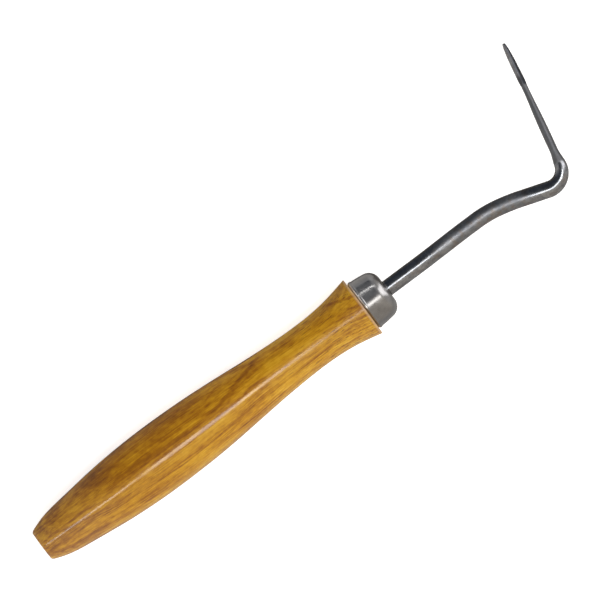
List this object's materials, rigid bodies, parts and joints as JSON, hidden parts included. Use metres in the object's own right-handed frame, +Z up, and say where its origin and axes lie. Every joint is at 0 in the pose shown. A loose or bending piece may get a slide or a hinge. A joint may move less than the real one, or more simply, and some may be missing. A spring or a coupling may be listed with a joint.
{
  "type": "hive tool",
  "caption": "Hooked steel scraper with a small leaf-shaped tip, a domed ferrule and a turned wooden handle, for cleaning the grooves of beehive frames.",
  "frame": {"origin": "centre of the flat face at the handle's butt", "axes": "+X along the handle's axis from the butt to the hook; +Z up as the tool lies on a bench with its tip touching; +Y to the side that the tine points to. The hook's plane holds the X axis and is rolled 13.0 degrees about it, tip down."},
  "size_m": [0.2373, 0.0571, 0.0246],
  "materials": {
    "handle_wood": "clear gloss lacquer over golden brown, open-grained hardwood",
    "ferrule_steel": "spun satin steel",
    "hook_steel": "forged and belt-polished carbon steel, slightly pitted, darker than the ferrule"
  },
  "bodies": {
    "root": {"handle": "handle_wood", "ferrule": "ferrule_steel", "hook": "hook_steel"}
  },
  "joints": []
}
